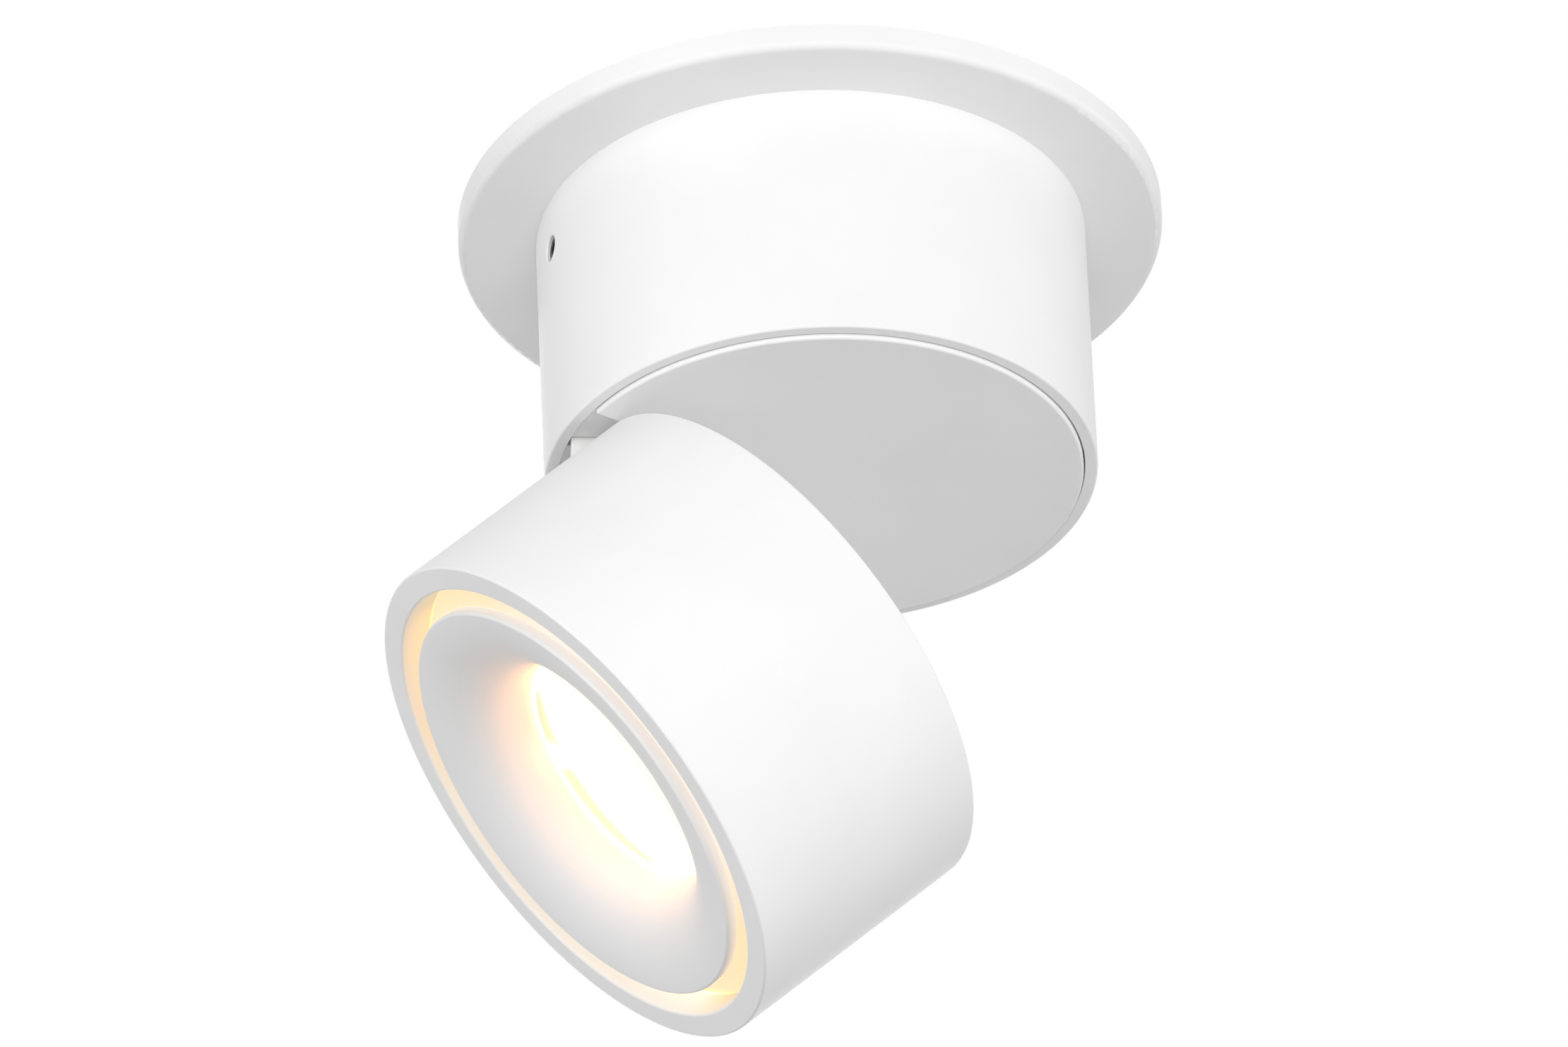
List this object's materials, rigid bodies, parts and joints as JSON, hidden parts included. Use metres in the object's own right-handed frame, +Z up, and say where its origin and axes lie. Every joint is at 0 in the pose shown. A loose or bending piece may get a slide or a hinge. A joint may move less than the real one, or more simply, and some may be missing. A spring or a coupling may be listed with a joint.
{
  "type": "ceiling spot lamp",
  "caption": "White surface ceiling spot: round ceiling plate, fixed tube with a swivel disc, and a tubular lamp head that folds out on a hidden hinge, with a glowing ring round its reflector.",
  "frame": {"origin": "centre of the ceiling face, between the two screw slots", "axes": "+Z up into the ceiling; the hinge lies along Y and the head folds out towards -X"},
  "size_m": [0.1222, 0.109, 0.1383],
  "materials": {
    "white_coat": "white powder coat over aluminium, satin",
    "white_reflector": "white, satin",
    "black_steel": "black oxide",
    "zinc_steel": "zinc plated",
    "white_steel": "white paint over steel",
    "brass": "plain",
    "bare_aluminium": "as cast",
    "black_rubber": "matt",
    "white_plastic": "moulded",
    "bearing_plastic": "natural",
    "green_board": "solder mask",
    "white_board": "white solder mask on an aluminium core",
    "dark_component": "moulded",
    "grey_pad": "silicone",
    "phosphor": "phosphor",
    "frosted_acrylic": "frosted",
    "clear_acrylic": "clear"
  },
  "bodies": {
    "base": {"ceiling_plate": "white_coat", "spigot_ring": "bare_aluminium", "cable_grommet": "black_rubber", "terminal_block": "white_plastic", "terminal_screws": "brass", "terminal_fixing_screws": "zinc_steel", "earth_screw": "zinc_steel", "base_tube": "white_coat", "tube_grub_screws": "black_steel", "bearing_plate": "zinc_steel", "bearing_plate_screws": "zinc_steel", "swivel_bush": "bearing_plastic", "stop_pin": "zinc_steel", "driver_case": "white_plastic", "driver_lid": "white_plastic", "driver_board": "green_board", "driver_transformer": "dark_component", "driver_capacitors": "dark_component", "driver_screws": "zinc_steel"},
    "swivel": {"swivel_disc": "white_coat", "swivel_stem": "zinc_steel", "stem_screws": "zinc_steel", "stop_washer": "zinc_steel", "spring_washer": "black_steel", "swivel_nut": "zinc_steel", "hinge_bracket": "white_steel", "hinge_bracket_screws": "zinc_steel", "hinge_pin": "zinc_steel", "hinge_nut": "zinc_steel", "friction_washers": "bearing_plastic"},
    "head": {"head_tube": "white_coat", "heat_sink": "bare_aluminium", "retaining_ring": "black_steel", "hinge_block": "bare_aluminium", "hinge_block_screws": "zinc_steel", "back_cover": "white_coat", "back_cover_screws": "zinc_steel", "thermal_pad": "grey_pad", "led_board": "white_board", "led_emitter": "phosphor", "glow_leds": "phosphor", "led_holder": "white_plastic", "led_holder_screws": "zinc_steel", "front_lens": "clear_acrylic", "spacer_ring": "white_plastic", "glow_disc": "frosted_acrylic", "reflector": "white_reflector"}
  },
  "joints": [
    {"name": "swivel_turn", "type": "hinge", "parent": "base", "child": "swivel", "pos_m": [0, 0, -0.047], "axis": [0, 0, 1], "range_deg": [-170, 170]},
    {"name": "head_tilt", "type": "hinge", "parent": "swivel", "child": "head", "pos_m": [-0.036, 0, -0.0552], "axis": [0, 1, 0], "range_deg": [-49.2, 40.8]}
  ]
}
